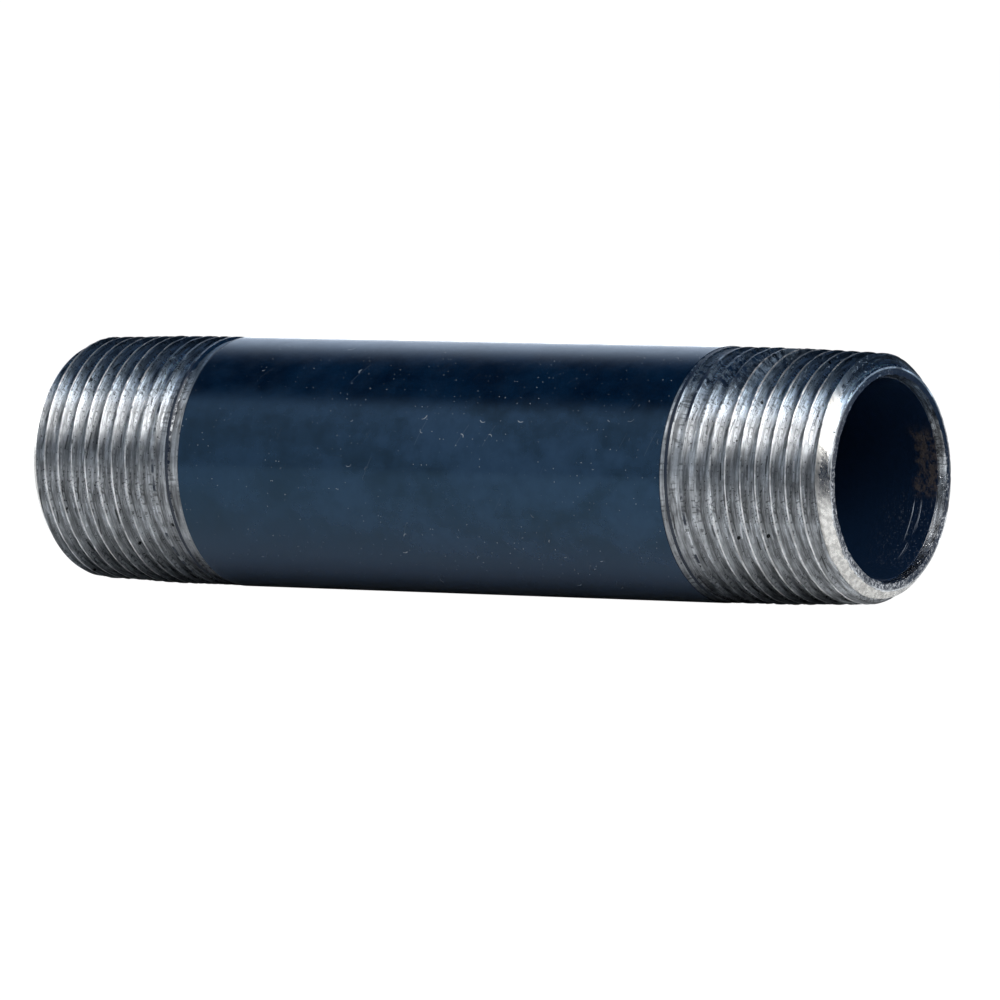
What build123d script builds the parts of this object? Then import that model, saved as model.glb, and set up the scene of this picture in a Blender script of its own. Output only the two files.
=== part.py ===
from build123d import *
import math
import os

# A black steel pipe nipple: one length of lacquered pipe with a taper thread cut on each end.
# The pipe's axis is X, the origin is the middle of that axis, and Z is up. Millimetres and degrees.

# Driving dimensions: a 3/4 inch schedule 40 pipe nipple, 4 inches long, with 3/4-14 taper threads
INCH = 25.4
PIPE_DIAMETER = 1.050 * INCH
PIPE_WALL = 0.113 * INCH
NIPPLE_LENGTH = 4.0 * INCH
LACQUER = 0.05                     # thickness of the black lacquer, outside and in the bore
THREADS_PER_INCH = 14
TAPER = 1 / 16                     # of the thread, on the diameter
END_PITCH_DIAMETER = 0.96768 * INCH
FULL_THREAD_LENGTH = 0.5457 * INCH
VANISH_TURNS = 3.47                # turns over which the groove runs out into the pipe's surface
FLANK_ANGLE = 30                   # half of the 60 degree thread form
CREST_TRUNCATION = 0.060           # in pitches, cut off the sharp thread form
ROOT_TRUNCATION = 0.033
CHAMFER_ANGLE = 45                 # of the outer chamfer, to the axis
CHAMFER_FACE_RADIUS = 11.60        # where the chamfer meets the end face
REAM_DEPTH = 0.9                   # of the reamed bevel at each mouth of the bore
REAM_FACE_RADIUS = 10.75           # where that bevel meets the end face
THREAD_STARTS = {-1: -47, 1: -86}  # angle of each groove at its end face, by the side of the origin
CUTTER_CLEARANCE = 0.3             # the thread cutter stands this far above the crests
CUTTER_RUN_IN = 1.5                # turns of the cutter outside the end of the pipe
CUTTER_RUN_OUT = 0.5               # turns of the cutter past the point where the groove has vanished

# Worked out from them
PIPE_RADIUS = PIPE_DIAMETER / 2
BORE_RADIUS = PIPE_RADIUS - PIPE_WALL
HALF_LENGTH = NIPPLE_LENGTH / 2
PITCH = INCH / THREADS_PER_INCH
FLANK_SLOPE = math.tan(math.radians(FLANK_ANGLE))
SHARP_HEIGHT = PITCH / 2 / FLANK_SLOPE
END_ROOT_RADIUS = END_PITCH_DIAMETER / 2 - SHARP_HEIGHT / 2 + ROOT_TRUNCATION * PITCH
END_CREST_RADIUS = END_PITCH_DIAMETER / 2 + SHARP_HEIGHT / 2 - CREST_TRUNCATION * PITCH
THREAD_SLOPE = TAPER / 2
CREST_RUN = (PIPE_RADIUS - END_CREST_RADIUS) / THREAD_SLOPE
LAST_ROOT_RADIUS = END_ROOT_RADIUS + FULL_THREAD_LENGTH * THREAD_SLOPE
VANISH_LENGTH = VANISH_TURNS * PITCH
VANISH_SLOPE = (PIPE_RADIUS - LAST_ROOT_RADIUS) / VANISH_LENGTH
THREAD_LENGTH = FULL_THREAD_LENGTH + VANISH_LENGTH
CHAMFER_LENGTH = (END_CREST_RADIUS - CHAMFER_FACE_RADIUS) / math.tan(math.radians(CHAMFER_ANGLE))
PLAIN_HALF_LENGTH = HALF_LENGTH - THREAD_LENGTH


def ring(half_outline):
    """Revolve an outline of (x, radius) points about the pipe's axis."""
    outline = Polyline(*[(x, radius, 0) for x, radius in half_outline], close=True)
    return revolve(make_face(outline), axis=Axis.X)


def pipe_blank():
    """The turned pipe before threading: bore, reamed mouths, chamfers and tapered ends."""
    right_end = [
        (HALF_LENGTH - CREST_RUN, PIPE_RADIUS),
        (HALF_LENGTH - CHAMFER_LENGTH, END_CREST_RADIUS + CHAMFER_LENGTH * THREAD_SLOPE),
        (HALF_LENGTH, CHAMFER_FACE_RADIUS),
        (HALF_LENGTH, REAM_FACE_RADIUS),
        (HALF_LENGTH - REAM_DEPTH, BORE_RADIUS),
    ]
    left_end = [(-x, radius) for x, radius in reversed(right_end)]
    return ring(right_end + left_end)


def groove_corners():
    """The V of the groove, as (height above its root, distance along the pipe) of its four corners."""
    half_root = ROOT_TRUNCATION * PITCH * FLANK_SLOPE
    height = END_CREST_RADIUS - END_ROOT_RADIUS + CUTTER_CLEARANCE
    half_mouth = half_root + height * FLANK_SLOPE
    return [(0, -half_root), (height, -half_mouth), (height, half_mouth), (0, half_root)]


def groove_edges(start_z, end_z):
    """The four right-hand helices of the groove's corners over one turn or less about Z."""
    run_out = max(start_z - FULL_THREAD_LENGTH, 0)
    root_radius = END_ROOT_RADIUS + start_z * THREAD_SLOPE
    edges = []
    for height, along in groove_corners():
        side = math.copysign(1, along)
        # past the full thread the root's two corners climb the flanks and stay on one steeper cone
        climbs = height == 0 and start_z >= FULL_THREAD_LENGTH
        spread = (VANISH_SLOPE - THREAD_SLOPE) / (1 / FLANK_SLOPE - side * VANISH_SLOPE) if climbs else 0
        stretch = 1 + side * spread
        cone = math.atan((THREAD_SLOPE + spread / FLANK_SLOPE) / stretch)
        helix = Edge.make_helix(
            pitch=PITCH * stretch / math.cos(cone),
            height=(end_z - start_z) * stretch,
            radius=root_radius + height + run_out * spread / FLANK_SLOPE,
            center=(0, 0, start_z + along + run_out * side * spread),
            angle=math.degrees(cone),
        )
        edges.append(helix.rotate(Axis.Z, 360 * start_z / PITCH))
    return edges


def groove_cap(edges, position):
    """The flat end of the cutter across the four helices, at their start (0) or their end (1)."""
    return Face(Wire.make_polygon([edge.position_at(position) for edge in edges], close=True))


def thread_cutter():
    """The whole groove of one end, whose end face is at z = 0 and whose pipe goes up from there."""
    turns_out = math.ceil(FULL_THREAD_LENGTH / PITCH)
    vanish_turns = math.ceil(VANISH_TURNS + CUTTER_RUN_OUT)
    run_out = THREAD_LENGTH + CUTTER_RUN_OUT * PITCH
    stops = [-CUTTER_RUN_IN * PITCH] + [turn * PITCH for turn in range(turns_out)]
    stops += [min(FULL_THREAD_LENGTH + turn * PITCH, run_out) for turn in range(vanish_turns + 1)]
    stretches = [groove_edges(start, end) for start, end in zip(stops, stops[1:])]
    faces = [groove_cap(stretches[0], 0), groove_cap(stretches[-1], 1)]
    for edges in stretches:
        for edge, next_edge in zip(edges, edges[1:] + edges[:1]):
            faces.append(Face.make_surface_from_curves(edge, next_edge))
    return Solid(Shell(faces))


def steel_pipe():
    """The pipe itself, with its two threads cut."""
    steel = pipe_blank()
    for side, start in THREAD_STARTS.items():
        steel -= Pos(side * HALF_LENGTH, 0, 0) * Rot(0, -90 * side, 0) * Rot(0, 0, start) * thread_cutter()
    return steel


def outer_lacquer():
    """The lacquer left on the plain body, between the two threads."""
    return ring([
        (-PLAIN_HALF_LENGTH, PIPE_RADIUS),
        (-PLAIN_HALF_LENGTH, PIPE_RADIUS + LACQUER),
        (PLAIN_HALF_LENGTH, PIPE_RADIUS + LACQUER),
        (PLAIN_HALF_LENGTH, PIPE_RADIUS),
    ])


def bore_lacquer():
    """The lacquer inside the bore, between the two reamed mouths."""
    half_length = HALF_LENGTH - REAM_DEPTH
    return ring([
        (-half_length, BORE_RADIUS - LACQUER),
        (-half_length, BORE_RADIUS),
        (half_length, BORE_RADIUS),
        (half_length, BORE_RADIUS - LACQUER),
    ])


os.makedirs("parts", exist_ok=True)
export_step(steel_pipe(), "parts/steel_pipe.step")
export_step(outer_lacquer(), "parts/outer_lacquer.step")
export_step(bore_lacquer(), "parts/bore_lacquer.step")
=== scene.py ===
import math

import bmesh
import bpy
import numpy as np
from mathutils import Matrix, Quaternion, Vector


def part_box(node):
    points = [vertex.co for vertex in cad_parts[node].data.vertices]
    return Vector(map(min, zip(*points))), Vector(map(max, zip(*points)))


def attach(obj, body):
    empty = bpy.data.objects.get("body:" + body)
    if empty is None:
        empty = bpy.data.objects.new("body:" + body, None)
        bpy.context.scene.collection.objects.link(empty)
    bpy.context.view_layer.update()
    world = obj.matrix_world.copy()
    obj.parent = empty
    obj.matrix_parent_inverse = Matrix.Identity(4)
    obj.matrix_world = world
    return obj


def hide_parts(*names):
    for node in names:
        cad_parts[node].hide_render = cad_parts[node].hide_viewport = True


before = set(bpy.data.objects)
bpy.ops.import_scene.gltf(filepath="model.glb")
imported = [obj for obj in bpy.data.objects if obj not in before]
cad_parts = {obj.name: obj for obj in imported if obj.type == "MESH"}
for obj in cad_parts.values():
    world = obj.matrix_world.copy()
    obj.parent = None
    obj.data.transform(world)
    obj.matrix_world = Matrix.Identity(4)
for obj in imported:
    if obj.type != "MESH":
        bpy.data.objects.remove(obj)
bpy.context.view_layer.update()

# A lacquered steel pipe nipple lying on its side: its axis is X, Z is up, and lengths are in metres.
# The side of an end is -1 on the left and 1 on the right, and depth is measured from its end face.
MM = 0.001
STEEL_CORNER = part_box("steel_pipe")[1]
LACQUER_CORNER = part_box("outer_lacquer")[1]
BORE_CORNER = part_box("bore_lacquer")[1]

HALF_LENGTH = STEEL_CORNER.x
PIPE_RADIUS = STEEL_CORNER.z
FILM_RADIUS = LACQUER_CORNER.z
PLAIN_HALF_LENGTH = LACQUER_CORNER.x
BORE_RADIUS = BORE_CORNER.z
REAM_DEPTH = HALF_LENGTH - BORE_CORNER.x
FILM = FILM_RADIUS - PIPE_RADIUS

# The thread: 3/4-14 taper pipe thread
PITCH = 25.4 * MM / 14
THREAD_SLOPE = 1 / 32
END_ROOT_RADIUS = 11.564 * MM
END_CREST_RADIUS = 12.966 * MM
FULL_THREAD_LENGTH = 13.861 * MM
FLANK_SLOPE = math.tan(math.radians(30))
HALF_ROOT = 0.035 * MM
THREAD_STARTS = {-1: math.radians(-47), 1: math.radians(-86)}
LAST_ROOT_RADIUS = END_ROOT_RADIUS + FULL_THREAD_LENGTH * THREAD_SLOPE

# The die went a little further on the left than on the right
THREAD_LENGTH = HALF_LENGTH - PLAIN_HALF_LENGTH
THREAD_LENGTHS = {-1: THREAD_LENGTH + 0.25 * MM, 1: THREAD_LENGTH - 0.35 * MM}
VANISH_SLOPES = {
    side: (PIPE_RADIUS - LAST_ROOT_RADIUS) / (length - FULL_THREAD_LENGTH)
    for side, length in THREAD_LENGTHS.items()
}

# The ends
CHAMFER_FACE_RADIUS = 11.60 * MM
REAM_FACE_RADIUS = 10.75 * MM
CHAMFER_ZONE = 1.5 * MM

# Unevenness of the cut steel: how high it is, how many knots it has to a turn, and for rings to a radian
ROOT_WAVE = 0.03 * MM
ROOT_KNOTS = 9
TEARS = ((40, 0.12 * MM), (170, 0.14 * MM))
TEAR_THRESHOLD = 0.55
RIM_WEAR = 0.16 * MM
RIM_KNOTS = 40
RIM_THRESHOLD = 0.4
SAW_WAVE = 0.03 * MM
SAW_KNOTS = 12
REAM_WAVE = 0.12 * MM
REAM_KNOTS = 30
SEEDS = {-1: 19, 1: 21}
FIRST_TEAR_LINE, RIM_LINE, SAW_LINE, REAM_LINE = 1, 4, 5, 6

# How finely the pipe is divided
COLUMNS = 256
FLANK_STEPS = 4
FLOOR_STEPS = 2
CREST_STEPS = 2
TURN_ROWS = FLANK_STEPS + FLOOR_STEPS + FLANK_STEPS + CREST_STEPS
CHAMFER_ROWS = 12
REAM_ROWS = 4
BODY_ROWS = 40
BORE_ROWS = 60
RING_SLACK = 0.01 * MM
SHARP_ANGLE = math.radians(35)


def wander(position, seed, size=4096):
    """Smooth random values from 0 to 1 along a line, one knot per unit of position."""
    knots = np.random.RandomState(seed).rand(size)
    low = np.floor(position).astype(int)
    part = position - low
    part = part * part * (3 - 2 * part)
    return knots[low % size] * (1 - part) + knots[(low + 1) % size] * part


def waves(position, seed, height):
    """Smooth waves along a line, that high from trough to top."""
    return (wander(position, seed) - 0.5) * height


def dips(position, seed, threshold, depth):
    """Dips here and there along a line, where the random value passes the threshold."""
    return np.maximum(wander(position, seed) - threshold, 0) * depth


def root_radius(depth):
    """Radius of the full thread's root."""
    return END_ROOT_RADIUS + depth * THREAD_SLOPE


def run_out_radius(depth, side):
    """Radius of the steep cone on which the root leaves the pipe."""
    return LAST_ROOT_RADIUS + (depth - FULL_THREAD_LENGTH) * VANISH_SLOPES[side]


def crest_radius(depth):
    """Radius of the crests, which reach the pipe's own surface near the run-out."""
    return np.minimum(END_CREST_RADIUS + depth * THREAD_SLOPE, PIPE_RADIUS)


def half_mouth(centre):
    """Half of the groove's width at the crests."""
    return HALF_ROOT + (crest_radius(centre) - root_radius(centre)) * FLANK_SLOPE


def half_floor(centre, towards, side):
    """Half of the groove's floor, towards the body (1) or towards the end face (-1)."""
    spread = (VANISH_SLOPES[side] - THREAD_SLOPE) / (1 / FLANK_SLOPE - towards * VANISH_SLOPES[side])
    widened = HALF_ROOT + spread * np.maximum(centre - FULL_THREAD_LENGTH, 0)
    return np.minimum(widened, half_mouth(centre))


def thread_radius(depth, turn, side):
    """Radius of the cut end at that depth, on the column where the groove has made that part of a turn."""
    pitches = depth / PITCH - turn
    offset = np.abs(pitches - np.round(pitches)) * PITCH
    centre_turn = np.round(pitches) + turn
    flank = root_radius(centre_turn * PITCH) + (np.maximum(offset, HALF_ROOT) - HALF_ROOT) / FLANK_SLOPE
    floor = np.where(depth > FULL_THREAD_LENGTH, run_out_radius(depth, side), 0)
    groove = np.maximum(flank + waves(centre_turn * ROOT_KNOTS, SEEDS[side], ROOT_WAVE), floor)
    # the crests are torn here and there, apart from the last one
    crest_turn = np.floor(pitches) + turn
    tear = 0
    for line, (knots, tear_depth) in enumerate(TEARS, FIRST_TEAR_LINE):
        tear = tear + dips(crest_turn * knots, SEEDS[side] + line, TEAR_THRESHOLD, tear_depth)
    tear = np.where(depth < THREAD_LENGTHS[side] - PITCH, tear, 0)
    chamfer = CHAMFER_FACE_RADIUS + np.maximum(depth, 0)
    return np.minimum(np.minimum(groove, crest_radius(depth) - tear), chamfer)


class Surface:
    """Gathers the points and faces of one mesh."""

    def __init__(self):
        self.points = []
        self.faces = []

    def add_points(self, xyz):
        start = len(self.points)
        self.points.extend(xyz)
        return np.arange(start, start + len(xyz))

    def ring(self, x, radius, angles):
        """A ring of points at x; radius is one number or one per column."""
        radius = np.broadcast_to(radius, angles.shape)
        xyz = np.c_[np.broadcast_to(x, angles.shape), radius * np.cos(angles), radius * np.sin(angles)]
        return self.add_points(xyz.tolist())

    def bridge(self, first, second):
        """Quads between two rings."""
        after_first, after_second = np.roll(first, -1), np.roll(second, -1)
        self.faces.extend(np.c_[first, after_first, after_second, second].tolist())

    def build(self, name):
        """The finished piece, smooth but for its sharp edges, with its faces turned outwards."""
        mesh = bpy.data.meshes.new(name)
        mesh.from_pydata(self.points, [], self.faces)
        mesh.polygons.foreach_set("use_smooth", [True] * len(mesh.polygons))
        piece = bpy.data.objects.new(name, mesh)
        bpy.context.scene.collection.objects.link(piece)
        work = bmesh.new()
        work.from_mesh(mesh)
        bmesh.ops.recalc_face_normals(work, faces=work.faces)
        work.to_mesh(mesh)
        work.free()
        mesh.set_sharp_from_angle(angle=SHARP_ANGLE)
        return piece


def column_angles():
    """The angle of each column about X, from the back (+Y) over the top."""
    return np.arange(COLUMNS) * 2 * math.pi / COLUMNS


def groove_turn(side, angles):
    """For each column, the part of a turn the groove has made since its start at the end face."""
    around = np.arctan2(np.cos(angles), side * np.sin(angles))
    return np.mod((around - THREAD_STARTS[side]) / (2 * math.pi), 1)


def turn_rows(centre, side):
    """Depths of the grid's rows over one pitch, from the groove's edge nearest the end to the next groove."""
    near_mouth = centre - half_mouth(centre)
    near_floor = centre - half_floor(centre, -1, side)
    far_floor = centre + half_floor(centre, 1, side)
    far_mouth = centre + half_mouth(centre)
    next_mouth = centre + PITCH - half_mouth(centre + PITCH)
    corners = [near_mouth, near_floor, far_floor, far_mouth, next_mouth]
    step_counts = (FLANK_STEPS, FLOOR_STEPS, FLANK_STEPS, CREST_STEPS)
    rows = []
    for first, last, steps in zip(corners, corners[1:], step_counts):
        rows += [first + (last - first) * step / steps for step in range(steps)]
    return rows


def thread_zone(surface, side, angles, end_ring, plain_ring):
    """The thread between the chamfer's ring and the plain body's ring, on a grid that follows the helix."""
    turns = groove_turn(side, angles)
    last_turn = math.ceil(THREAD_LENGTH / PITCH) + 1
    rows = []
    for turn in range(-1, last_turn + 1):
        for depth in turn_rows((turn + turns) * PITCH, side):
            rows.append(place_row(surface, side, angles, turns, depth, end_ring, plain_ring))
    join_columns(surface, np.array(rows), turns, end_ring, plain_ring)


def place_row(surface, side, angles, turns, depth, end_ring, plain_ring):
    """One row of the thread's grid; points past either ring become that ring's own points."""
    radius = thread_radius(depth, turns, side)
    row = np.empty(len(angles), int)
    before = depth < CHAMFER_ZONE + RING_SLACK
    after = depth > THREAD_LENGTHS[side] - RING_SLACK
    inside = ~(before | after)
    row[before] = end_ring[before]
    row[after] = plain_ring[after]
    x = side * (HALF_LENGTH - depth)
    xyz = np.c_[x, radius * np.cos(angles), radius * np.sin(angles)]
    row[inside] = surface.add_points(xyz[inside].tolist())
    return row


def join_columns(surface, grid, turns, end_ring, plain_ring):
    """Faces between neighbouring columns; where the groove starts a new turn the rows shift by one turn."""
    row_count, column_count = grid.shape
    for column in range(column_count):
        neighbour = (column + 1) % column_count
        shift = int(round(turns[column] - turns[neighbour])) * TURN_ROWS
        for row in range(row_count - 1):
            corners = [grid[row][column], grid[row + 1][column]]
            for index in (row + shift + 1, row + shift):
                if index < 0:
                    corners.append(end_ring[neighbour])
                elif index >= row_count:
                    corners.append(plain_ring[neighbour])
                else:
                    corners.append(grid[index][neighbour])
            unique = list(dict.fromkeys(int(corner) for corner in corners))
            if len(unique) > 2:
                surface.faces.append(unique)


def cut_end(surface, side, angles):
    """One threaded end. Returns its ring at the plain body and its ring at the bore's mouth."""
    seed = SEEDS[side]
    turns = groove_turn(side, angles)
    plain_ring = surface.ring(side * (HALF_LENGTH - THREAD_LENGTHS[side]), PIPE_RADIUS, angles)
    rings = []
    for depth in np.linspace(CHAMFER_ZONE, 0, CHAMFER_ROWS + 1)[:-1]:
        radius = thread_radius(np.full(len(angles), depth), turns, side)
        rings.append(surface.ring(side * (HALF_LENGTH - depth), radius, angles))
    thread_zone(surface, side, angles, rings[0], plain_ring)
    worn = dips(angles * RIM_KNOTS, seed + RIM_LINE, RIM_THRESHOLD, RIM_WEAR)
    ragged = waves(angles * REAM_KNOTS, seed + REAM_LINE, REAM_WAVE)
    middle = (CHAMFER_FACE_RADIUS + REAM_FACE_RADIUS) / 2
    for radius in (CHAMFER_FACE_RADIUS - worn, middle, REAM_FACE_RADIUS + ragged):
        rings.append(surface.ring(side * HALF_LENGTH, radius, angles))
    saw = waves(angles * SAW_KNOTS, seed + SAW_LINE, SAW_WAVE)
    for row in range(1, REAM_ROWS):
        part = row / REAM_ROWS
        radius = REAM_FACE_RADIUS + (BORE_RADIUS - REAM_FACE_RADIUS) * part
        rings.append(surface.ring(side * (HALF_LENGTH - REAM_DEPTH * part), radius + saw, angles))
    rings.append(surface.ring(side * (HALF_LENGTH - REAM_DEPTH), BORE_RADIUS, angles))
    for first, second in zip(rings, rings[1:]):
        surface.bridge(first, second)
    return plain_ring, rings[-1]


def steel_pipe():
    """The pipe with both threads cut, as one closed mesh."""
    surface = Surface()
    angles = column_angles()
    left_plain, left_mouth = cut_end(surface, -1, angles)
    right_plain, right_mouth = cut_end(surface, 1, angles)
    surface.bridge(left_plain, right_plain)
    surface.bridge(left_mouth, right_mouth)
    return surface.build("steel_pipe_threaded")


def sleeve(name, left, right, outside, inside, rows):
    """A thin closed tube about X."""
    surface = Surface()
    angles = column_angles()
    stations = np.linspace(left, right, rows)
    rings = [surface.ring(x, outside, angles) for x in stations]
    rings += [surface.ring(x, inside, angles) for x in stations[::-1]]
    for first, second in zip(rings, rings[1:] + rings[:1]):
        surface.bridge(first, second)
    return surface.build(name)


NOISE_LOW, NOISE_HIGH = 0.3, 0.7
QUARTER_TURN = 0.25


class Nodes:
    """Makes and joins the nodes of one material or world."""

    def __init__(self, tree):
        self.tree = tree

    def put(self, socket, value):
        """Link a socket to another node's output, or set it to a plain value."""
        if isinstance(value, bpy.types.NodeSocket):
            self.tree.links.new(value, socket)
        else:
            socket.default_value = value

    def add(self, kind, inputs, **settings):
        """The outputs of a new node, with its settings made first and then its inputs put in."""
        node = self.tree.nodes.new("ShaderNode" + kind)
        for name, value in settings.items():
            setattr(node, name, value)
        for name, value in inputs.items():
            self.put(node.inputs[name], value)
        return node.outputs

    def math(self, operation, *values):
        return self.add("Math", dict(enumerate(values)), operation=operation)[0]

    def chain(self, operation, first, *others):
        for other in others:
            first = self.math(operation, first, other)
        return first

    def plus(self, *values):
        return self.chain("ADD", *values)

    def minus(self, first, second):
        return self.math("SUBTRACT", first, second)

    def times(self, *values):
        return self.chain("MULTIPLY", *values)

    def most(self, *values):
        return self.chain("MAXIMUM", *values)

    def size_of(self, value):
        return self.math("ABSOLUTE", value)

    def vector(self, x, y, z):
        return self.add("CombineXYZ", {0: x, 1: y, 2: z})[0]

    def split(self, vector):
        return self.add("SeparateXYZ", {0: vector})

    def scaled(self, vector, factor):
        return self.add("VectorMath", {0: vector, "Scale": factor}, operation="SCALE")[0]

    def noise(self, vector, scale, detail=2.0, roughness=0.5):
        inputs = {"Vector": vector, "Scale": scale, "Detail": detail, "Roughness": roughness}
        return self.add("TexNoise", inputs)[0]

    def ramp(self, value, low, high, to_low=0.0, to_high=1.0):
        """A smooth change from to_low, where value is at low, to to_high, where it is at high."""
        inputs = {"Value": value, "From Min": low, "From Max": high, "To Min": to_low, "To Max": to_high}
        return self.add("MapRange", inputs, interpolation_type="SMOOTHSTEP")["Result"]

    def shade(self, noise, to_low, to_high):
        """A smooth change over the values that a noise usually takes."""
        return self.ramp(noise, NOISE_LOW, NOISE_HIGH, to_low, to_high)

    def where(self, mask, factor):
        """That factor where the mask is 1, and 1 where it is 0."""
        return self.ramp(mask, 0, 1, 1, factor)

    def mix(self, factor, first, second):
        """From the first colour to the second, which are sockets 6 and 7 of the node."""
        return self.add("Mix", {0: factor, 6: first, 7: second}, data_type="RGBA")[2]

    def mix_value(self, factor, first, second):
        """From the first plain value to the second, which are sockets 2 and 3 of the node."""
        return self.add("Mix", {0: factor, 2: first, 3: second}, data_type="FLOAT")[0]


class Material(Nodes):
    """A material and its shader."""

    def __init__(self, name):
        self.material = bpy.data.materials.new(name)
        self.material.use_nodes = True
        super().__init__(self.material.node_tree)
        self.shader = self.tree.nodes["Principled BSDF"]

    def set(self, name, value):
        self.put(self.shader.inputs[name], value)

    def bump(self, height, distance, strength):
        inputs = {"Strength": strength, "Distance": distance, "Height": height}
        self.set("Normal", self.add("Bump", inputs)[0])

    def spread_reflections(self, amount):
        """Reflections spread along the pipe, across the tool marks that run round it."""
        self.set("Tangent", self.add("Tangent", {}, direction_type="RADIAL", axis="X")[0])
        self.set("Anisotropic", amount)
        self.set("Anisotropic Rotation", QUARTER_TURN)


class PipeMaterial(Material):
    """A material laid out in millimetres on the pipe, with across and up for the direction from its axis."""

    def __init__(self, name):
        super().__init__(name)
        self.place = self.scaled(self.add("TexCoord", {})["Object"], 1 / MM)
        self.x, y, z = self.split(self.place)
        self.radius = self.math("SQRT", self.plus(self.times(y, y), self.times(z, z)))
        self.across = self.math("DIVIDE", y, self.radius)
        self.up = self.math("DIVIDE", z, self.radius)

    def around(self):
        """How far round the pipe's surface a place lies, from the front."""
        return self.times(self.math("ARCTAN2", self.up, self.times(self.across, -1)), PIPE_RADIUS / MM)

    def wrapped(self, along, fineness, wrap):
        """Coordinates for a texture: fineness stretches it along the pipe, and wrap stretches it round."""
        across = self.times(self.across, wrap)
        up = self.times(self.up, wrap)
        return self.vector(self.times(along, fineness), across, up)

    def tool_lines(self, along, fineness, wrap, detail=2.0):
        """Fine lines drawn round the pipe: quick changes with along, slow changes round the pipe."""
        return self.noise(self.wrapped(along, fineness, wrap), 1.0, detail, 0.7)

    def strokes(self, cell, length, width, share, turn=1.0, lean=0.0, curl=0.0):
        """Short strokes strewn over the pipe's surface: one to a cell, in that share of the cells.

        Each is turned at random by up to half of that part of a turn either way from its lean.
        """
        flat = self.vector(self.x, self.around(), 0)
        cells = self.add("TexVoronoi", {"Vector": flat, "Scale": 1 / cell}, voronoi_dimensions="2D")
        offset = self.add("VectorMath", {0: flat, 1: cells["Position"]}, operation="SUBTRACT")[0]
        spin, chance, size = self.add("SeparateColor", {0: cells["Color"]})
        angle = self.math("MULTIPLY_ADD", self.minus(spin, 0.5), turn * 2 * math.pi, lean)
        turned = self.add("VectorRotate", {"Vector": offset, "Angle": angle}, rotation_type="Z_AXIS")[0]
        along, beside, _ = self.split(turned)
        reach = self.times(self.ramp(size, 0, 1, 0.35, 1), length)
        inside = self.math("LESS_THAN", self.size_of(along), reach)
        bent = self.minus(beside, self.times(along, along, curl))
        thin = self.ramp(self.size_of(bent), width / 2, width, 1, 0)
        chosen = self.math("LESS_THAN", chance, share)
        return self.times(inside, thin, chosen, self.ramp(size, 0, 1, 0.3, 1))


BARE_STEEL = (0.69, 0.715, 0.74, 1)
# A painted reflection: the bluish tint that the dark blue room above gives the steel on top
BLUE_REFLECTION_STEEL = (0.50, 0.66, 0.84, 1)
# Worn, polished crests, lightened further by a painted highlight of the light their rounded edges catch
WORN_STEEL_AND_HIGHLIGHT = (0.97, 0.97, 0.97, 1)
CHAMFER_STEEL = (0.82, 0.80, 0.76, 1)
LACQUER_COLOUR = (0.0010, 0.0070, 0.020, 1)
LACQUER_REFLECTION = (0.30, 0.62, 0.95, 1)
THIN_LACQUER = (0.0010, 0.0080, 0.0225, 1)
THICK_LACQUER = (0.0001, 0.0028, 0.0095, 1)
LIGHTER_LACQUER = (0.0110, 0.0240, 0.0500, 1)
DUST = (0.42, 0.44, 0.45, 1)
BORE_LACQUER = (0.003, 0.010, 0.027, 1)
RUST = (0.032, 0.025, 0.025, 1)
# Light colour for grit in the bore, and for its painted highlight arcs
ARC_HIGHLIGHT_AND_GRIT = (0.36, 0.40, 0.46, 1)

# Places on the pipe, in the millimetres that its materials are laid out in
END = HALF_LENGTH / MM
SURFACE = PIPE_RADIUS / MM
CHAMFER_EDGE = CHAMFER_FACE_RADIUS / MM
REAM_EDGE = REAM_FACE_RADIUS / MM
ROOT_HEIGHT = END_ROOT_RADIUS / MM
UPPER_FLANK_HEIGHT = ROOT_HEIGHT + 1.0
CREST_HEIGHT = END_CREST_RADIUS / MM
WORN_CREST_START, WORN_CREST_FULL = CREST_HEIGHT - 0.10, CREST_HEIGHT - 0.04
UNCUT_START, UNCUT_FULL = SURFACE - 0.02, SURFACE - 0.006
TORN_EDGE_DEPTH = THREAD_LENGTHS[-1] / MM - 1.6
BARE_CREST_DEPTH, LACQUERED_CREST_DEPTH = 15.6, 17.4
SCRAPS_START_DEPTH, SCRAPS_FULL_DEPTH = 9, 14
RUST_START_DEPTH, RUST_FULL_DEPTH = 3.8, 2.6
ARCS_START_DEPTH, ARCS_FULL_DEPTH = 5.0, 4.0
GRIT_START_DEPTH, GRIT_FULL_DEPTH = 9.0, 3.0
FACE_RIM_START, FACE_RIM_FULL = CHAMFER_EDGE - 0.24, CHAMFER_EDGE - 0.14
DULL_CHAMFER_START, DULL_CHAMFER_FULL = 0.75, 1.0
DENT_CORE, DENT_RIM = 0.045, 0.080
TORN_EDGE_CORE, TORN_EDGE_RIM = 0.18, 0.28
CHATTER_FINENESS, CHATTER_WRAP, CHATTER_SLANT = 0.8, 24, 2.0

HANDLED_STRETCH = (-30, 5)
DUSTY_STRETCH = (-22, 5)

# How far off a surface a place may be and still count as on it
EDGE_SLACK = 0.1
CHAMFER_SLACK = 0.02
FACE_SLACK = 0.004
MOUTH_SLACK = 0.01

# Zones round the pipe, each from where it starts to where it is full: up is 1 on top and -1 underneath,
# and across is 1 at the back and -1 at the front
# Where the steel on top takes its painted blue reflection of the room above
BLUE_REFLECTION_TOP = (0.40, 0.85)
CHAMFER_BLUE_REFLECTION_TOP = (0.62, 0.85)
PITTED_TOP = (0.2, 0.8)
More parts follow.
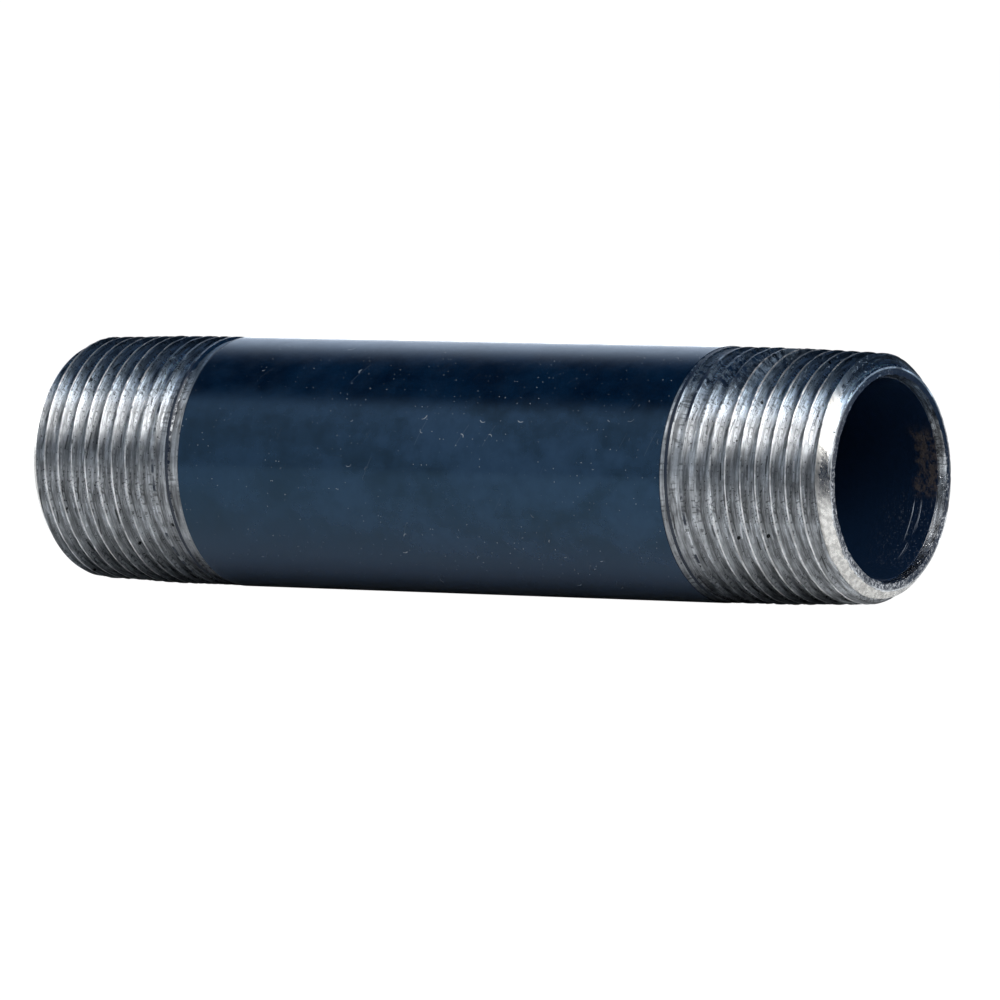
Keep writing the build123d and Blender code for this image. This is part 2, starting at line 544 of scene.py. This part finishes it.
# Top of the bore's mouth, where painted shade darkens the steel
SHADED_MOUTH_TOP = (-0.1, 0.3)
SCRAPS_TOP = (0.60, 0.78)
FEWER_SPECKLES_TOP = (0, 0.6)
FEWER_SPECKLES_BACK = (-0.2, 0.5)
ABOVE_THE_UNDERSIDE = (-0.75, -0.55)
BELOW_THE_TOP = (0.60, 0.42)
UNDERSIDE = (-0.15, -0.6)
LIGHTER_UNDERSIDE = (-0.40, -0.85)
RUSTY_BACK, RUST_FLOOR, RUST_CEILING = (0.70, 0.80), (-0.25, -0.15), (0.55, 0.35)
ARCS_BACK, ARCS_LOW = (0.55, 0.75), (-0.22, -0.34)
GRITTY_BACK, GRITTY_LOW = (0.15, 0.75), (-0.1, -0.3)

# How light the marks on the steel are: from the low to the high end of a texture, or where the mark is full
LINE_TONES = (0.56, 1.2)
CIRCLE_TONES = (0.64, 1.15)
BROAD_LINE_TONES = (0.8, 1.1)
PATCH_TONES = (0.85, 1.1)
GRAIN_TONES = (0.80, 1.1)
# Painted light: the thread's roots lightened and its upper flanks darkened, to even out the shade the grooves
# cast on themselves
PAINTED_ROOT_LIGHT_TONES = (1.5, 0.64)
CHATTER_TONES = (0.70, 1.04)
CHAMFER_GRAIN_TONES = (0.90, 1.04)
CREST_GRAIN_TONES = (0.75, 1.05)
CREST_PATCH_TONES = (0.6, 1)
PIT_TONE = 0.2
TORN_TONE = 0.45
SCORE_TONE = 0.35
RUB_TONE = 1.6
# Painted shade of small dented spots, which have no relief of their own
DENT_SHADE_TONE = 0.08
DULL_TONE = 0.75
# Painted shade at the top of the bore's mouth
MOUTH_TOP_SHADE_TONE = 0.25

# Roughness of the surfaces; a pair is from the low to the high end of the grain or of a cloudy texture
CUT_ROUGHNESS = (0.38, 0.47)
POLISHED_ROUGHNESS = (0.22, 0.32)
DULL_ROUGHNESS = 0.48
CREST_ROUGHNESS = 0.50
MOUTH_ROUGHNESS = 0.22
LEFT_LACQUER_ROUGHNESS = 0.30
LACQUER_ROUGHNESS = (0.13, 0.22)
BORE_ROUGHNESS, RUST_ROUGHNESS = 0.28, 0.85
STEEL_ANISOTROPY = 0.95
LACQUER_SPECULAR = 0.68

# Relief: the height that a texture of 1 stands for, its strength, and the share each texture has in it
STEEL_RELIEF, STEEL_RELIEF_STRENGTH = 0.03 * MM, 0.8
LACQUER_RELIEF, LACQUER_RELIEF_STRENGTH = 0.01 * MM, 0.3
BORE_RELIEF, BORE_RELIEF_STRENGTH = 0.03 * MM, 0.6
LINE_HEIGHT = 2.2
BROAD_LINE_HEIGHT = 0.8
CIRCLE_HEIGHT = 1.5
GRAIN_HEIGHT = 0.25
MOUTH_HEIGHT = 0.4
CHATTER_HEIGHT = 0.6
PIT_HEIGHT = 0.8
DUST_HEIGHT = 0.5
BORE_RING_HEIGHT = 1.5

# Directions of strokes: part of a turn that they vary by, and the angle from the pipe's axis that they lean
ROUND_THE_PIPE = {"turn": 0.02, "lean": math.pi / 2}
LINT_DIRECTION = {"turn": 0.3}
SCRATCH_DIRECTION = {"turn": 0.05, "lean": -1.1}


class CutSteel(PipeMaterial):
    """Bare steel with the marks of the die, the turning tool and the saw."""

    def __init__(self):
        super().__init__("cut_steel")
        self.find_surfaces()
        self.draw_marks()
        film = self.lacquer_left()
        self.set("Base Color", self.mix(film, self.metal(), LACQUER_COLOUR))
        self.set("Metallic", self.minus(1, film))
        self.set("Roughness", self.mix_value(film, self.roughness(), LEFT_LACQUER_ROUGHNESS))
        self.spread_reflections(STEEL_ANISOTROPY)
        self.bump(self.relief(), STEEL_RELIEF, STEEL_RELIEF_STRENGTH)

    def find_surfaces(self):
        """Which of the pipe's surfaces a place is on, and how high up the flank of the thread."""
        self.depth = self.minus(END, self.size_of(self.x))
        self.flank = self.minus(self.radius, self.times(self.depth, THREAD_SLOPE))
        self.on_crest = self.ramp(self.flank, WORN_CREST_START, WORN_CREST_FULL)
        off_chamfer = self.size_of(self.minus(self.minus(self.radius, self.depth), CHAMFER_EDGE))
        outside = self.math("GREATER_THAN", self.radius, CHAMFER_EDGE - EDGE_SLACK)
        self.on_chamfer = self.times(self.math("LESS_THAN", off_chamfer, CHAMFER_SLACK), outside)
        self.on_face = self.math("LESS_THAN", self.depth, FACE_SLACK)
        inside = self.math("LESS_THAN", self.radius, REAM_EDGE + EDGE_SLACK)
        self.in_mouth = self.times(inside, self.ramp(self.depth, 0, MOUTH_SLACK))

    def draw_marks(self):
        """The textures that colour, roughness and relief share."""
        self.lines = self.tool_lines(self.flank, fineness=3.8, wrap=2.4, detail=3)
        self.broad_lines = self.tool_lines(self.flank, fineness=2.2, wrap=2.0, detail=1)
        self.circles = self.tool_lines(self.x, fineness=3.6, wrap=2.8, detail=3)
        self.grain = self.tool_lines(self.flank, fineness=6, wrap=20, detail=4)
        self.patches = self.noise(self.place, scale=0.45, detail=3, roughness=0.6)
        more_on_top = self.ramp(self.up, *PITTED_TOP, to_low=0, to_high=0.04)
        pits = self.plus(self.noise(self.place, scale=3.0, detail=3, roughness=0.6), more_on_top)
        self.pits = self.ramp(pits, 0.645, 0.69)
        slant = self.times(self.x, CHATTER_SLANT)
        slanted = self.vector(
            self.times(self.x, CHATTER_FINENESS),
            self.math("MULTIPLY_ADD", self.across, CHATTER_WRAP, slant),
            self.math("MULTIPLY_ADD", self.up, CHATTER_WRAP, slant),
        )
        self.chatter = self.noise(slanted, scale=1.0)
        dull_depth = self.plus(self.depth, self.shade(self.grain, -0.15, 0.15))
        self.dull = self.ramp(dull_depth, DULL_CHAMFER_START, DULL_CHAMFER_FULL)

    def thread_level(self):
        """How light the thread is: streaked; lighter near the roots and darker up the flanks, a painted light
        that evens out the shade in the grooves; dark where it is torn; and dark at small dented spots, whose
        shade is painted on.
        """
        torn = self.noise(self.wrapped(self.flank, fineness=3, wrap=50), scale=1.0)
        torn = self.times(self.ramp(torn, 0.50, 0.62), self.ramp(self.broad_lines, 0.50, 0.58))
        # Small dented spots with no relief: their shade is painted on as dark spots
        cells = self.add("TexVoronoi", {"Vector": self.place, "Scale": 0.27})
        dent_shade = self.ramp(cells["Distance"], DENT_RIM, DENT_CORE)
        scores = self.strokes(cell=1.7, length=1.6, width=0.055, share=0.55, **ROUND_THE_PIPE)
        rubs = self.strokes(cell=2.1, length=1.9, width=0.075, share=0.55, **ROUND_THE_PIPE)
        return self.times(
            self.ramp(self.lines, 0.40, 0.60, *LINE_TONES),
            self.ramp(self.circles, 0.40, 0.60, *CIRCLE_TONES),
            self.shade(self.broad_lines, *BROAD_LINE_TONES),
            self.shade(self.patches, *PATCH_TONES),
            self.ramp(self.grain, 0.32, 0.70, *GRAIN_TONES),
            # painted light: lighter roots, darker upper flanks
            self.ramp(self.flank, ROOT_HEIGHT, UPPER_FLANK_HEIGHT, *PAINTED_ROOT_LIGHT_TONES),
            self.where(self.pits, PIT_TONE),
            self.where(torn, TORN_TONE),
            self.where(scores, SCORE_TONE),
            self.where(rubs, RUB_TONE),
            # painted shade of the dented spots
            self.where(dent_shade, DENT_SHADE_TONE),
        )

    def metal(self):
        """The steel's colour: bluer on top, a painted reflection of the dark blue room above; white where the
        crests are worn, and whiter still from a painted highlight of light caught by their rounded edges;
        darker at the top of the bore's mouth, a painted shade.
        """
        level = self.thread_level()
        # Painted shade: the steel at the bore's mouth darkens towards the top
        mouth = self.times(level, self.ramp(self.up, *SHADED_MOUTH_TOP, to_low=1, to_high=MOUTH_TOP_SHADE_TONE))
        level = self.mix_value(self.in_mouth, level, mouth)
        scuffed = self.times(
            self.ramp(self.chatter, 0.35, 0.62, *CHATTER_TONES),
            self.shade(self.grain, *CHAMFER_GRAIN_TONES),
            self.where(self.dull, DULL_TONE),
        )
        level = self.mix_value(self.on_chamfer, level, scuffed)
        worn = self.times(
            self.shade(self.grain, *CREST_GRAIN_TONES),
            self.ramp(self.patches, 0.35, 0.6, *CREST_PATCH_TONES),
        )
        level = self.mix_value(self.on_crest, level, worn)
        # Painted reflection: the steel turns bluer on top, as if it mirrored the dark blue room above
        colour = self.mix(self.ramp(self.up, *BLUE_REFLECTION_TOP), BARE_STEEL, BLUE_REFLECTION_STEEL)
        # Crests towards white: real wear, and a painted highlight of light caught by their rounded edges
        colour = self.mix(self.on_crest, colour, WORN_STEEL_AND_HIGHLIGHT)
        chamfer = self.mix(self.ramp(self.up, *CHAMFER_BLUE_REFLECTION_TOP), CHAMFER_STEEL, BLUE_REFLECTION_STEEL)
        return self.scaled(self.mix(self.on_chamfer, colour, chamfer), level)

    def lacquer_left(self):
        """Where lacquer covers the steel, or the end faces are darkened to the lacquer's colour."""
        return self.most(self.last_crests(), self.scraps(), self.dark_face_cover(), self.torn_edge())

    def last_crests(self):
        """The wide crests next to the body, which the die has not cut."""
        depth = self.plus(self.depth, self.shade(self.patches, -1.2, 1.2))
        return self.times(
            self.ramp(self.radius, UNCUT_START, UNCUT_FULL),
            self.ramp(depth, BARE_CREST_DEPTH, LACQUERED_CREST_DEPTH),
        )

    def scraps(self):
        """Scraps left on top of the right thread."""
        return self.times(
            self.ramp(self.tool_lines(self.x, fineness=1.9, wrap=24, detail=5), 0.49, 0.53),
            self.ramp(self.up, *SCRAPS_TOP),
            self.ramp(self.x, END - SCRAPS_START_DEPTH, END - SCRAPS_FULL_DEPTH),
            self.math("GREATER_THAN", self.x, 0),
        )

    def dark_face_cover(self):
        """The end faces darkened to the lacquer's colour: less at the rim and in light speckles, which are
        fewer on top and at the back.
        """
        speckle = self.times(
            self.noise(self.place, scale=3.5, detail=3, roughness=0.6),
            self.ramp(self.up, *FEWER_SPECKLES_TOP, to_low=1, to_high=0.78),
            self.ramp(self.across, *FEWER_SPECKLES_BACK, to_low=1, to_high=0.85),
        )
        rim = self.ramp(self.radius, FACE_RIM_START, FACE_RIM_FULL, to_low=1, to_high=0.4)
        return self.times(self.on_face, rim, self.ramp(speckle, 0.42, 0.62, 1.0, 0.45))

    def torn_edge(self):
        """A torn black edge along the last groove on the left."""
        ragged = self.shade(self.noise(self.place, scale=2.2, detail=4, roughness=0.7), -0.2, 0.2)
        off_edge = self.size_of(self.plus(self.minus(self.depth, TORN_EDGE_DEPTH), ragged))
        return self.times(
            self.ramp(off_edge, TORN_EDGE_RIM, TORN_EDGE_CORE),
            self.math("LESS_THAN", self.x, 0),
            self.ramp(self.up, *ABOVE_THE_UNDERSIDE),
        )

    def roughness(self):
        rough = self.mix_value(self.on_crest, self.shade(self.grain, *CUT_ROUGHNESS), CREST_ROUGHNESS)
        rough = self.mix_value(self.in_mouth, rough, MOUTH_ROUGHNESS)
        polished = self.mix_value(self.dull, self.shade(self.grain, *POLISHED_ROUGHNESS), DULL_ROUGHNESS)
        return self.mix_value(self.on_chamfer, rough, polished)

    def relief(self):
        height = self.plus(
            self.times(self.lines, LINE_HEIGHT),
            self.times(self.broad_lines, BROAD_LINE_HEIGHT),
            self.times(self.circles, CIRCLE_HEIGHT),
            self.times(self.grain, GRAIN_HEIGHT),
        )
        height = self.mix_value(self.in_mouth, height, self.times(height, MOUTH_HEIGHT))
        height = self.mix_value(self.on_chamfer, height, self.times(self.chatter, CHATTER_HEIGHT))
        return self.minus(height, self.times(self.pits, PIT_HEIGHT))


class BlackLacquer(PipeMaterial):
    """Blue-black lacquer with cloudy patches, dust, lint and fine scratches."""

    def __init__(self):
        super().__init__("black_lacquer")
        marks = self.marks()
        self.set("Base Color", self.mix(marks, self.film(), DUST))
        clouds = self.noise(self.place, scale=0.5, detail=4, roughness=0.6)
        self.set("Roughness", self.shade(clouds, *LACQUER_ROUGHNESS))
        self.set("Specular IOR Level", LACQUER_SPECULAR)
        self.set("Specular Tint", LACQUER_REFLECTION)
        orange_peel = self.noise(self.place, scale=1.2, detail=4, roughness=0.6)
        relief = self.plus(orange_peel, self.times(marks, DUST_HEIGHT))
        self.bump(relief, LACQUER_RELIEF, LACQUER_RELIEF_STRENGTH)

    def film(self):
        """The lacquer's colour: hazy where it was handled, and lighter towards the underside."""
        cloud = self.noise(self.wrapped(self.x, fineness=0.6, wrap=13), scale=0.20, detail=3, roughness=0.6)
        smear = self.noise(self.wrapped(self.x, fineness=1.2, wrap=13), scale=0.6, detail=4, roughness=0.6)
        murk = self.plus(self.ramp(cloud, 0.38, 0.64, 0, 0.70), self.ramp(smear, 0.35, 0.65, 0, 0.30))
        more_on_right = self.ramp(self.x, *HANDLED_STRETCH, to_low=0.38, to_high=0.82)
        handled = self.times(murk, self.ramp(self.up, *BELOW_THE_TOP), more_on_right)
        lighter_film = self.most(handled, self.ramp(self.up, *LIGHTER_UNDERSIDE))
        return self.mix(lighter_film, self.mix(murk, THICK_LACQUER, THIN_LACQUER), LIGHTER_LACQUER)

    def marks(self):
        """Dust, lint and curled fibres, which crowd in some places, and faint scratches."""
        dust = self.strokes(cell=0.70, length=0.055, width=0.055, share=0.18)
        lint = self.strokes(cell=5.0, length=0.38, width=0.05, share=0.22, curl=1.2, **LINT_DIRECTION)
        curls = self.strokes(cell=3.7, length=0.28, width=0.05, share=0.16, curl=-2.0)
        scratches = self.strokes(cell=3.6, length=1.5, width=0.03, share=0.16, **SCRATCH_DIRECTION)
        crowd = self.noise(self.place, scale=0.14, detail=3, roughness=0.6)
        crowd = self.ramp(crowd, 0.42, 0.60, to_low=0.12, to_high=0.8)
        low_right = self.times(self.ramp(self.up, *UNDERSIDE), self.ramp(self.x, *DUSTY_STRETCH))
        strewn = self.times(self.most(self.times(dust, 0.7), lint, curls), self.most(crowd, low_right))
        return self.most(strewn, self.times(scratches, 0.07))


class BoreLacquer(PipeMaterial):
    """Dull lacquer with rust and grit inside the right mouth, and painted highlight arcs below the rust."""

    def __init__(self):
        super().__init__("bore_lacquer")
        rust = self.rust()
        paint = self.mix(rust, BORE_LACQUER, RUST)
        # Painted highlight arcs, and real grit, lighten the bore's lacquer
        highlights_and_grit = self.most(self.arcs(), self.grit())
        self.set("Base Color", self.mix(highlights_and_grit, paint, ARC_HIGHLIGHT_AND_GRIT))
        self.set("Roughness", self.ramp(rust, 0, 1, BORE_ROUGHNESS, RUST_ROUGHNESS))
        grain = self.noise(self.place, scale=2.0, detail=4, roughness=0.6)
        rings = self.tool_lines(self.x, fineness=4.0, wrap=3.0)
        self.bump(self.plus(grain, self.times(rings, BORE_RING_HEIGHT)), BORE_RELIEF, BORE_RELIEF_STRENGTH)

    def rust(self):
        """A rusty patch just inside the mouth, on the side away from the front."""
        ragged = self.shade(self.noise(self.place, scale=0.8, detail=5, roughness=0.7), -0.8, 0.8)
        return self.times(
            self.ramp(self.noise(self.place, scale=1.6, detail=5, roughness=0.75), 0.38, 0.56),
            self.ramp(self.across, *RUSTY_BACK),
            self.ramp(self.up, *RUST_FLOOR),
            self.ramp(self.up, *RUST_CEILING),
            self.ramp(self.plus(self.x, ragged), END - RUST_START_DEPTH, END - RUST_FULL_DEPTH),
        )

    def arcs(self):
        """Bright arcs below the rust: painted highlights of light caught by ring-shaped ridges."""
        return self.times(
            self.ramp(self.tool_lines(self.x, fineness=3.0, wrap=1.0), 0.60, 0.68),
            self.ramp(self.across, *ARCS_BACK),
            self.ramp(self.up, *ARCS_LOW),
            self.ramp(self.x, END - ARCS_START_DEPTH, END - ARCS_FULL_DEPTH),
        )

    def grit(self):
        """Grit along the bore's floor near the mouth."""
        return self.times(
            self.ramp(self.noise(self.place, scale=4.5, detail=3, roughness=0.6), 0.58, 0.70, 0, 0.2),
            self.ramp(self.across, *GRITTY_BACK),
            self.ramp(self.up, *GRITTY_LOW),
            self.ramp(self.x, END - GRIT_START_DEPTH, END - GRIT_FULL_DEPTH),
        )


def dress(piece, look, node):
    piece.data.materials.append(look.material)
    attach(piece, "root")
    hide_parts(node)


film_left = THREAD_LENGTHS[-1] - HALF_LENGTH
film_right = HALF_LENGTH - THREAD_LENGTHS[1]
bore_end = HALF_LENGTH - REAM_DEPTH
body_film = sleeve("lacquer_film", film_left, film_right, FILM_RADIUS, PIPE_RADIUS, BODY_ROWS)
bore_film = sleeve("bore_film", -bore_end, bore_end, BORE_RADIUS, BORE_RADIUS - FILM, BORE_ROWS)
dress(steel_pipe(), CutSteel(), "steel_pipe")
dress(body_film, BlackLacquer(), "outer_lacquer")
dress(bore_film, BoreLacquer(), "bore_lacquer")

# The camera looks a little down along the pipe from its right, with a long lens
CAMERA_AZIMUTH = 0.6021
CAMERA_ELEVATION = 0.0436
CAMERA_DISTANCE = 86.32 * PIPE_RADIUS
CAMERA_AIM = (0.12 * PIPE_RADIUS, -0.2558 * PIPE_RADIUS)
LENS = 392.4
SENSOR = 36

# Lights: radiances, and sizes and distances in metres
RIGHT_PANEL = {
    "direction": (0.839, -0.148, 0.524),
    "width": 1.0,
    "height": 0.56,
    "radiance": 8.2,
    "lean": -27,
}
TOP_PANEL = {
    "direction": (-0.25, -0.2, 1),
    "width": 1.2,
    "height": 1.2,
    "radiance": 1.35,
    "floor_only": True,
}
PANEL_DISTANCE = 1.0
ROOM_SHADE = (0.004, 0.014, 0.034, 1)
FRONT_LIGHT = (0.59, 0.64, 0.70, 1)
BACK_LIGHT = (0.90, 1.05, 1.28, 1)
HORIZON_LIGHT = (2.9, 3.0, 3.1, 1)
WHITE_TO_CAMERA = 1.05

# Edges of the lit walls, by the direction they lie in: from where the light starts to where it is full
FRONT_WALL_TOP = (0.78, 0.66)
FRONT_WALL_RIGHT = (0.35, 0.05)
BACK_WALL_TOP = (0.80, 0.46)
BACK_WALL_RIGHT = (-0.25, -0.50)
HORIZON_TOP = (0.27, 0.15)
FRONT_TO_BACK = (-0.1, 0.2)

# The floor, and the black card on it that stands in for shade on the floor at the right
FLOOR_REACH = 30
FLOOR_COLOUR = (0.78, 0.79, 0.80, 1)
FLOOR_WHITE_SHARE = 0.97
CARD_COLOUR = (0.010, 0.018, 0.035, 1)
CARD_LOW = (HALF_LENGTH + 42 * MM, -2)
CARD_HIGH = (4, 4)
CARD_LIFT = 0.2 * MM
MATT = 0.9


def add_camera():
    back = Vector((
        math.sin(CAMERA_AZIMUTH) * math.cos(CAMERA_ELEVATION),
        -math.cos(CAMERA_AZIMUTH) * math.cos(CAMERA_ELEVATION),
        math.sin(CAMERA_ELEVATION),
    ))
    rotation = back.to_track_quat("Z", "Y")
    right = rotation @ Vector((1, 0, 0))
    up = rotation @ Vector((0, 1, 0))
    data = bpy.data.cameras.new("camera")
    data.lens = LENS
    data.sensor_width = SENSOR
    camera = bpy.data.objects.new("camera", data)
    camera.location = back * CAMERA_DISTANCE + right * CAMERA_AIM[0] + up * CAMERA_AIM[1]
    camera.rotation_euler = rotation.to_euler()
    bpy.context.scene.collection.objects.link(camera)
    bpy.context.scene.camera = camera


def add_panel(name, direction, width, height, radiance, lean=0, floor_only=False):
    """A soft rectangular light facing the pipe; one for the floor only is left out of reflections."""
    data = bpy.data.lights.new(name, "AREA")
    data.shape = "RECTANGLE"
    data.size = width
    data.size_y = height
    data.energy = radiance * math.pi * width * height
    light = bpy.data.objects.new(name, data)
    towards = Vector(direction).normalized()
    light.location = towards * PANEL_DISTANCE
    roll = Quaternion((0, 0, 1), math.radians(lean))
    light.rotation_euler = (towards.to_track_quat("Z", "Y") @ roll).to_euler()
    light.visible_camera = False
    light.visible_glossy = not floor_only
    bpy.context.scene.collection.objects.link(light)


def add_sheet(name, low, high, z):
    """A flat rectangle at that height, between two corners."""
    mesh = bpy.data.meshes.new(name)
    corners = [(low[0], low[1], z), (high[0], low[1], z), (high[0], high[1], z), (low[0], high[1], z)]
    mesh.from_pydata(corners, [], [(0, 1, 2, 3)])
    sheet = bpy.data.objects.new(name, mesh)
    bpy.context.scene.collection.objects.link(sheet)
    return sheet


def add_floor():
    """A pale floor, pure white to the camera, that catches light and shadow for the pipe's reflections."""
    floor = add_sheet("floor", (-FLOOR_REACH, -FLOOR_REACH), (FLOOR_REACH, FLOOR_REACH), -FILM_RADIUS)
    nodes = Material("pale_floor")
    nodes.set("Base Color", FLOOR_COLOUR)
    nodes.set("Roughness", MATT)
    glow = nodes.add("Emission", {"Strength": WHITE_TO_CAMERA})[0]
    seen = nodes.times(nodes.add("LightPath", {})["Is Camera Ray"], FLOOR_WHITE_SHARE)
    surface = nodes.add("MixShader", {0: seen, 1: nodes.shader.outputs[0], 2: glow})[0]
    nodes.put(nodes.tree.nodes["Material Output"].inputs["Surface"], surface)
    floor.data.materials.append(nodes.material)


def add_dark_card():
    """A black card on the floor at the pipe's right, seen only in reflections: it stands in for shade on the
    floor there.
    """
    card = add_sheet("dark_card", CARD_LOW, CARD_HIGH, CARD_LIFT - FILM_RADIUS)
    nodes = Material("black_card")
    nodes.set("Base Color", CARD_COLOUR)
    nodes.set("Roughness", MATT)
    card.data.materials.append(nodes.material)
    card.visible_camera = False
    card.visible_shadow = False
    card.visible_diffuse = False


def add_world():
    """White walls on the left and behind, up to a dark ceiling; the right is dark. The camera sees white."""
    world = bpy.data.worlds.new("studio")
    world.use_nodes = True
    nodes = Nodes(world.node_tree)
    x, y, z = nodes.split(nodes.add("TexCoord", {})["Generated"])
    front_wall = nodes.mix(nodes.ramp(z, *FRONT_WALL_TOP), ROOM_SHADE, FRONT_LIGHT)
    front_wall = nodes.mix(nodes.ramp(x, *FRONT_WALL_RIGHT), ROOM_SHADE, front_wall)
    back_wall = nodes.mix(nodes.ramp(z, *HORIZON_TOP), BACK_LIGHT, HORIZON_LIGHT)
    back_wall = nodes.mix(nodes.ramp(z, *BACK_WALL_TOP), ROOM_SHADE, back_wall)
    back_wall = nodes.mix(nodes.ramp(x, *BACK_WALL_RIGHT), ROOM_SHADE, back_wall)
    room = nodes.mix(nodes.ramp(y, *FRONT_TO_BACK), front_wall, back_wall)
    seen = nodes.add("LightPath", {})["Is Camera Ray"]
    white = (WHITE_TO_CAMERA, WHITE_TO_CAMERA, WHITE_TO_CAMERA, 1)
    nodes.put(world.node_tree.nodes["Background"].inputs["Color"], nodes.mix(seen, room, white))
    bpy.context.scene.world = world


bpy.context.scene.view_settings.view_transform = "Standard"
add_camera()
add_floor()
add_dark_card()
add_world()
add_panel("right_panel", **RIGHT_PANEL)
add_panel("top_panel", **TOP_PANEL)
